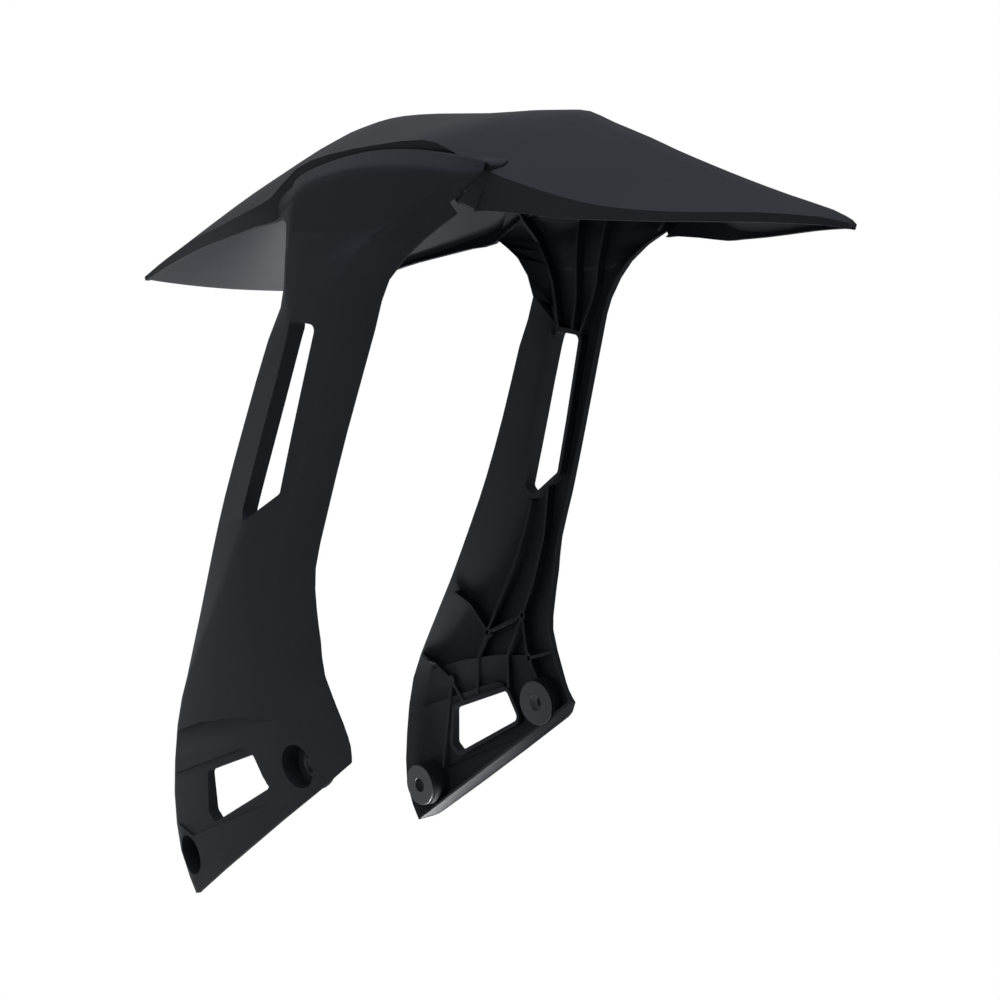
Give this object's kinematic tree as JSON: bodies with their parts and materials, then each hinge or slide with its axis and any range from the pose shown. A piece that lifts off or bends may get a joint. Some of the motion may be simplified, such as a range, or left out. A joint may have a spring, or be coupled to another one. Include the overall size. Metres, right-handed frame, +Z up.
{
  "type": "motorcycle mudguard",
  "caption": "Saddle-shaped moulded mudguard with a blade over the wheel, two slotted legs, windowed feet and steel collars in the bolt holes.",
  "frame": {"origin": "middle of the line through the two upper bolt holes, on the plane of symmetry", "axes": "+X to the right leg along the bolt line, +Y towards the broad end of the blade, +Z up"},
  "size_m": [0.2016, 0.419, 0.412],
  "materials": {
    "moulded_plastic": "satin",
    "collar_steel": "satin black"
  },
  "bodies": {
    "root": {"mudguard": "moulded_plastic", "left_upper_collar": "collar_steel", "left_lower_collar": "collar_steel", "right_upper_collar": "collar_steel", "right_lower_collar": "collar_steel"}
  },
  "joints": []
}
